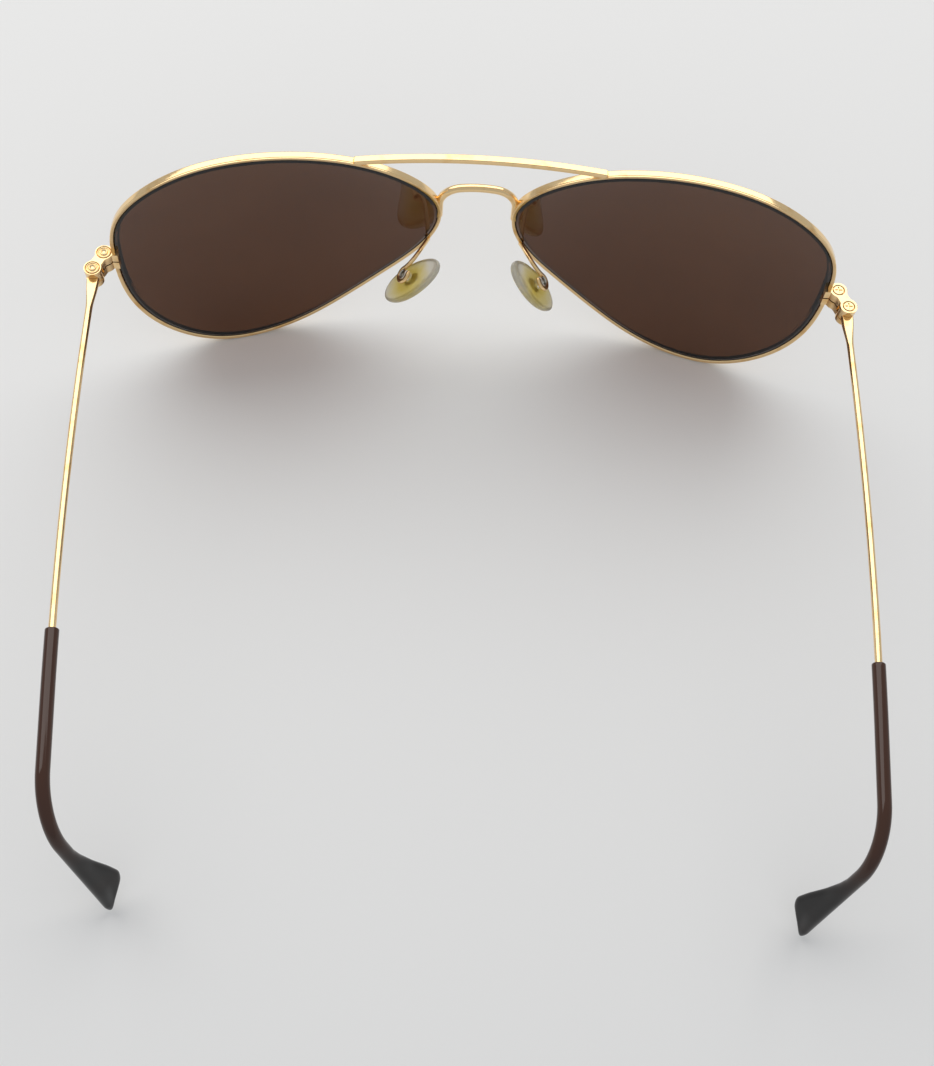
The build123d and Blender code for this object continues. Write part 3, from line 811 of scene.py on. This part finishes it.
def makePadCore(side):
    # A small oval plate inside the pad, and the lug that stands in the cup round the pad screw.
    long, wide, thick = pad["plate"]
    level = padBack + pad["plateDepth"]
    plate = squircle(2.6) * (long / 2, wide / 2)
    rows = [np.column_stack([plate, np.full(len(plate), z)]) for z in (level, level + thick)]
    neck = boxShape((0, 0, level / 2), (pad["neck"], pad["lugThickness"], level))
    core = carved(solid(np.array(rows)), neck, "UNION")
    half = pad["lugThickness"] / 2
    core = carved(core, turned([(pad["lug"], -half), (pad["lug"], half)], (0, 0, 0), (0, 1, 0), 32), "UNION")
    bore = cup["screw"] + hinge["play"]
    points, faces = carved(core, turned([(bore, -1), (bore, 1)], (0, 0, 0), (0, 1, 0), 24))
    return onPad(points, pad["rest"][side]), faces


def makePadCup():
    # A short tube with rounded lips, open at both ends.
    low, r = cup["front"] - cup["height"], cup["radius"]
    loop = filleted([(r, low), (r, cup["front"]), (r - cup["wall"], cup["front"]), (r - cup["wall"], low)],
                    [cup["lip"]] * 4)
    return turned(loop, padPlace, padFace, 56, closed=True)


def makePadScrew():
    # A fine screw through the cup, with one slot in its domed head.
    r, reach, head = cup["screw"], cup["radius"], cup["screwHead"]
    top = reach + cup["headHeight"]
    profile = [(r - 0.04, -reach), (r, 0.04 - reach), (r, reach), (head, reach), (head, top - 0.08),
               (head - 0.06, top - 0.01), (0.2, top + 0.02)]
    screw = turned(profile, padPlace, -padSide, 40)
    corner, faces = boxShape((0, 0, 0), cup["slot"])
    slot = padPlace - padSide * top + corner @ np.array([padDown, padFace, -padSide])
    return carved(screw, (slot, faces))


def makePadArm():
    # A curve that leaves the rim one way and meets the curl another, with the distance between them as
    # its speed at both ends, then most of a turn round the cup.
    ring = cup["radius"] + arm["play"] + arm["wire"] / 2
    level = cup["front"] - cup["height"] + arm["wire"] / 2
    turn = np.radians(arm["curlStart"] - np.linspace(0, arm["curl"], 120))
    curl = onPad(np.stack([ring * np.cos(turn), ring * np.sin(turn), np.full(len(turn), level)], -1))
    half = np.array([lens["width"], lens["height"]]) / 2
    rootFlat = (lensX - arm["rootOut"], lensZ) + np.array(lens["outline"][arm["root"]]) * half
    root = leaned(onFront(rootFlat, rimBack) - (0, arm["wire"] / 4, 0))
    t = np.linspace(0, 1, 60)[:, None]
    speed = np.linalg.norm(curl[0] - root)
    leave, meet = unit(np.array(arm["start"])) * speed, unit(curl[1] - curl[0]) * speed
    lead = ((2 * t ** 3 - 3 * t ** 2 + 1) * root + (t ** 3 - 2 * t ** 2 + t) * leave
            + (3 * t ** 2 - 2 * t ** 3) * curl[0] + (t ** 3 - t ** 2) * meet)
    place, heading = evenly(np.concatenate([lead[:-1], curl]), 0.2)[:2]
    size = np.array([arm["wire"], arm["wire"]]) / 2
    return bar(place, heading, padFace, squircle(2, 24), size, arm["rounding"])


padLook = dict(
    clear=(0.95, 0.93, 0.84), pale=(0.92, 0.80, 0.34), yellow=(0.86, 0.66, 0.10),
    transmission=0.6, index=1.43, smooth=0.05, worn=0.22,
    below=0.8, near=2.2, far=6.8,       # where the yellow's middle lies, and where it starts to fade and ends
    clouds=500, cloudAmount=0.45, film=1400,
)


def makePadPlastic(side):
    # Clear soft plastic gone yellow round the cup: the yellow fades out round a point by the pad screw.
    material, nodes, links, shader = newMaterial(sideNames[side] + "PadPlastic")
    shader.inputs["Transmission Weight"].default_value = padLook["transmission"]
    shader.inputs["IOR"].default_value = padLook["index"]
    place = nodes.new("ShaderNodeTexCoord")
    centre = (padPlace + padDown * padLook["below"]) * (side, 1, 1)
    away = nodes.new("ShaderNodeVectorMath")
    away.operation = "DISTANCE"
    away.inputs[1].default_value = tuple((centre + shift) * mm)
    links.new(place.outputs["Object"], away.inputs[0])
    reach = nodes.new("ShaderNodeMapRange")
    reach.inputs["From Min"].default_value = padLook["near"] * mm
    reach.inputs["From Max"].default_value = padLook["far"] * mm
    links.new(away.outputs["Value"], reach.inputs["Value"])
    level = mottled(nodes, links, reach.outputs["Result"], padLook["clouds"], 4, padLook["cloudAmount"])
    stops = [(0.15, padLook["yellow"]), (0.55, padLook["pale"]), (1.0, padLook["clear"])]
    links.new(ramp(nodes, links, level, stops), shader.inputs["Base Color"])
    film = noise(nodes, links, padLook["film"], 4)
    links.new(spread(nodes, links, film, padLook["smooth"], padLook["worn"]), shader.inputs["Roughness"])
    return material


# ---- building

gold = makeMetal("goldMetal", metals["gold"])
screwGold = makeMetal("screwMetal", metals["screwGold"])
silver = makeMetal("padMetal", metals["silver"])
lensGlass = makeLensGlass()
tipPlastic = makeTipPlastic()
padPlastics = {side: makePadPlastic(side) for side in sideNames}
print("materials made")

addPiece("browBar", makeBrowBar(), 1, "front", ["brow_bar"], gold)
addPiece("bridgeWire", makeBridge(), 1, "front", ["bridge"], gold)
shapes = [
    # name, shape, what it rides on, slot, material, how sharp an edge stays
    ("rim", makeRim(), "front", "gold_metal", gold, 28),
    ("lens", makeLens(), "front", "brown_lens", lensGlass, 14),
    ("pad_arm", makePadArm(), "front", "gold_metal", gold, 40),
    ("pad_cup", makePadCup(), "front", "pad_metal", silver, 40),
    ("pad_screw", makePadScrew(), "front", "pad_metal", silver, 30),
    ("temple", makeTemple(), "temple", "gold_metal", gold, 32),
    ("temple_tip", makeTip(), "temple", "tip_plastic", tipPlastic, 50),
]
print("shapes worked out")
for side, sideName in sideNames.items():
    ownShapes = [
        ("upper_hinge_block", makeHingeBlock(True, side), "front", "gold_metal", gold, 30),
        ("lower_hinge_block", makeHingeBlock(False, side), "front", "gold_metal", gold, 30),
        ("nose_pad", makeNosePad(side), "pad", "pad_plastic", padPlastics[side], 60),
        ("pad_core", makePadCore(side), "pad", "pad_metal", silver, 30),
    ]
    for name, shape, rides, slot, material, crease in shapes + ownShapes:
        body = "front" if rides == "front" else f"{sideName}_{rides}"
        words = name.split("_")
        pieceName = sideName + "".join(word.capitalize() for word in words)
        addPiece(pieceName, shape, side, body, [f"{sideName}_{name}"],
                 material, folding=rides == "temple", crease=crease)
    for name, place in (("lock", lockPlace), ("hinge", pinPlace)):
        addPiece(f"{sideName}{name.capitalize()}Screw", makeScrew(place, side), side, "front",
                 [f"{sideName}_{name}_screw"], screwGold, crease=35)
print("pieces placed")


# ---- floor, light and camera

studio = dict(
    floor=(0.80, 0.79, 0.77), floorRoughness=0.6, floorReach=3.0,
    world=(0.90, 0.94, 1.0), worldStrength=0.55,
    lampPlace=(0.12, -0.55, 0.75), lampSize=(1.7, 0.8), lampPower=7.2, lampColour=(1.0, 0.98, 0.95),
)
camera = dict(
    place=(9.04, 118.48, 260.20), yaw=4.9575, pitch=63.463, roll=7.0033,
    lens=51.613, shift=(-0.00503, 0.00225), sensor=36, nearest=0.01, farthest=10,
)


def makeStudio():
    reach = studio["floorReach"]
    mesh = bpy.data.meshes.new("floor")
    corners = [(-reach, -reach, 0), (reach, -reach, 0), (reach, reach, 0), (-reach, reach, 0)]
    mesh.from_pydata(corners, [], [[0, 1, 2, 3]])
    material, nodes, links, shader = newMaterial("floorPaint")
    shader.inputs["Base Color"].default_value = (*studio["floor"], 1)
    shader.inputs["Roughness"].default_value = studio["floorRoughness"]
    mesh.materials.append(material)
    floor = bpy.data.objects.new("floor", mesh)
    bpy.context.scene.collection.objects.link(floor)
    world = bpy.data.worlds.new("studio")
    world.use_nodes = True
    sky = world.node_tree.nodes["Background"]
    sky.inputs["Color"].default_value = (*studio["world"], 1)
    sky.inputs["Strength"].default_value = studio["worldStrength"]
    bpy.context.scene.world = world
    light = bpy.data.lights.new("softbox", "AREA")
    light.shape = "RECTANGLE"
    light.size, light.size_y = studio["lampSize"]
    light.energy, light.color = studio["lampPower"], studio["lampColour"]
    lamp = bpy.data.objects.new("softbox", light)
    lamp.location = studio["lampPlace"]
    lamp.rotation_mode = "QUATERNION"
    lamp.rotation_quaternion = (-Vector(studio["lampPlace"])).to_track_quat("-Z", "Y")
    bpy.context.scene.collection.objects.link(lamp)


def makeCamera():
    # Yaw turns about the upright, pitch looks down, and roll tips the picture.
    yaw, pitch, roll = (math.radians(camera[k]) for k in ("yaw", "pitch", "roll"))
    look = Vector((-math.sin(yaw) * math.cos(pitch), -math.cos(yaw) * math.cos(pitch), -math.sin(pitch)))
    level = Vector((-math.cos(yaw), math.sin(yaw), 0))
    up = level.cross(look)
    across = level * math.cos(roll) + up * math.sin(roll)
    above = up * math.cos(roll) - level * math.sin(roll)
    data = bpy.data.cameras.new("camera")
    data.sensor_width, data.lens = camera["sensor"], camera["lens"]
    data.shift_x, data.shift_y = camera["shift"]
    data.clip_start, data.clip_end = camera["nearest"], camera["farthest"]
    eye = bpy.data.objects.new("camera", data)
    turn = Matrix((across, above, -look)).transposed().to_4x4()
    eye.matrix_world = Matrix.Translation(Vector(camera["place"]) * mm) @ turn
    bpy.context.scene.collection.objects.link(eye)
    bpy.context.scene.camera = eye


makeStudio()
makeCamera()
bpy.context.scene.view_settings.view_transform = "Standard"
print("studio ready")
